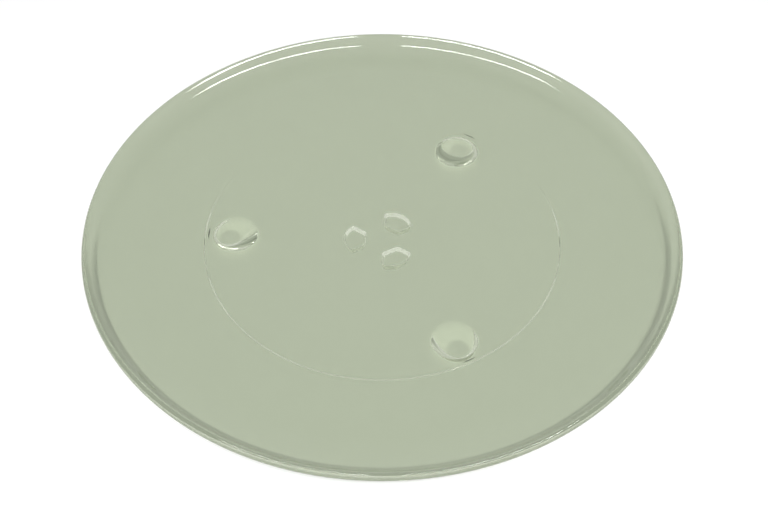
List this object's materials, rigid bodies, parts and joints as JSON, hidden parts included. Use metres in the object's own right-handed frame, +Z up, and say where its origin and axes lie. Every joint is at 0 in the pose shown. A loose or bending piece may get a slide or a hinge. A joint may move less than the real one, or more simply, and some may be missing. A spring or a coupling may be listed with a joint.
{
  "type": "microwave turntable plate",
  "caption": "Round pressed glass turntable plate: a flat floor in a shallow flare with a turned-up round rim, and drive lugs and domed feet under it.",
  "frame": {"origin": "on the plate's axis, in the plane of the feet's flat tips", "axes": "+Z up along the axis, towards the side that food stands on; one foot and one lug lie on the -X side"},
  "size_m": [0.345, 0.345, 0.0187],
  "materials": {
    "glass": "smooth pressed glass with a pale sage green tint"
  },
  "bodies": {
    "root": {"turntable_plate": "glass"}
  },
  "joints": []
}
